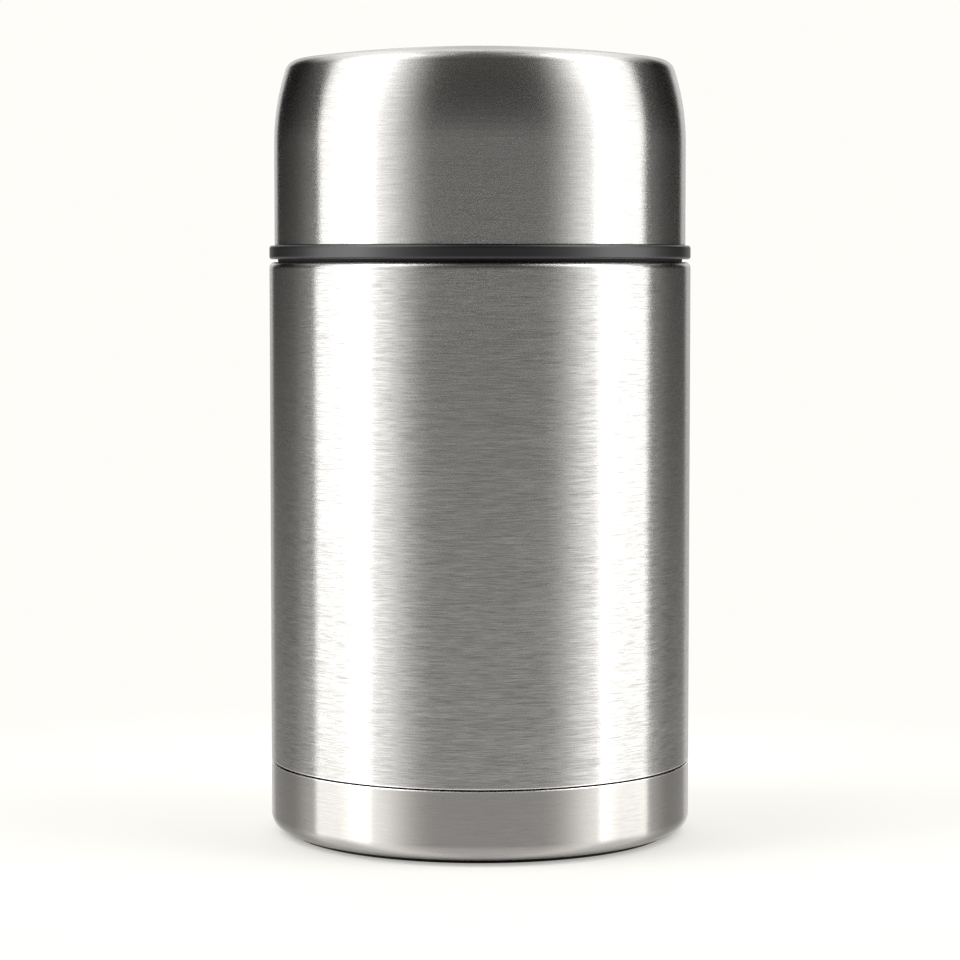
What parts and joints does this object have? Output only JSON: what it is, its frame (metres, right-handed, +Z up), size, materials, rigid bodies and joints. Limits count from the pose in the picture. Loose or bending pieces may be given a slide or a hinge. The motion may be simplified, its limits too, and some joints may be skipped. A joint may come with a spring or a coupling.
{
  "type": "insulated food jar",
  "caption": "Wide-mouth vacuum food jar of brushed steel with a screw stopper, a push-button vent and a screw-off cup lid on a dark ring.",
  "frame": {"origin": "centre of the foot pad's underside, on the plane that the jar stands on", "axes": "+Z up along the jar's axis; +X and +Y across the round body, with the plain front towards -Y"},
  "size_m": [0.108, 0.108, 0.2011],
  "materials": {
    "brushed_steel": "satin",
    "liner_steel": "satin",
    "spring_steel": "polished",
    "copper_foil": "gloss",
    "getter_alloy": "matte",
    "seal_glass": "gloss",
    "ring_plastic": "satin",
    "stopper_plastic": "matte",
    "button_plastic": "satin",
    "foam": "matte",
    "silicone": "matte",
    "black_silicone": "matte"
  },
  "bodies": {
    "vessel": {"outer_shell": "brushed_steel", "base_cup": "brushed_steel", "foot_pad": "black_silicone", "inner_flask": "liner_steel", "reflective_foil": "copper_foil", "vacuum_base_disc": "liner_steel", "getter": "getter_alloy", "vacuum_seal_bead": "seal_glass"},
    "stopper_seal": {"stopper_gasket": "silicone"},
    "stopper": {"stopper_plug": "stopper_plastic", "stopper_foam": "foam", "stopper_cap": "stopper_plastic", "vent_spring": "spring_steel"},
    "vent_valve": {"vent_button": "button_plastic", "vent_stem": "button_plastic", "vent_seal": "silicone", "vent_clip": "spring_steel"},
    "lid_seal": {"lid_gasket": "black_silicone"},
    "lid": {"lid_ring": "ring_plastic", "lid_shell": "brushed_steel", "lid_bowl": "liner_steel"}
  },
  "joints": [
    {"name": "stopper_lift", "type": "slide", "parent": "vessel", "child": "stopper_seal", "axis": [0, 0, 1], "range_m": [0, 0.07]},
    {"name": "stopper_turn", "type": "hinge", "parent": "stopper_seal", "child": "stopper", "pos_m": [0, 0, 0.161], "axis": [0, 0, 1], "range_deg": [0, 360]},
    {"name": "button_press", "type": "slide", "parent": "stopper", "child": "vent_valve", "axis": [0, 0, -1], "range_m": [0, 0.003], "stiffness_N_per_m": 400, "springref_m": -0.003, "deforming": ["vent_spring"]},
    {"name": "lid_lift", "type": "slide", "parent": "stopper", "child": "lid_seal", "axis": [0, 0, 1], "range_m": [0, 0.08]},
    {"name": "lid_turn", "type": "hinge", "parent": "lid_seal", "child": "lid", "pos_m": [0, 0, 0.1487], "axis": [0, 0, 1], "range_deg": [0, 360]}
  ]
}
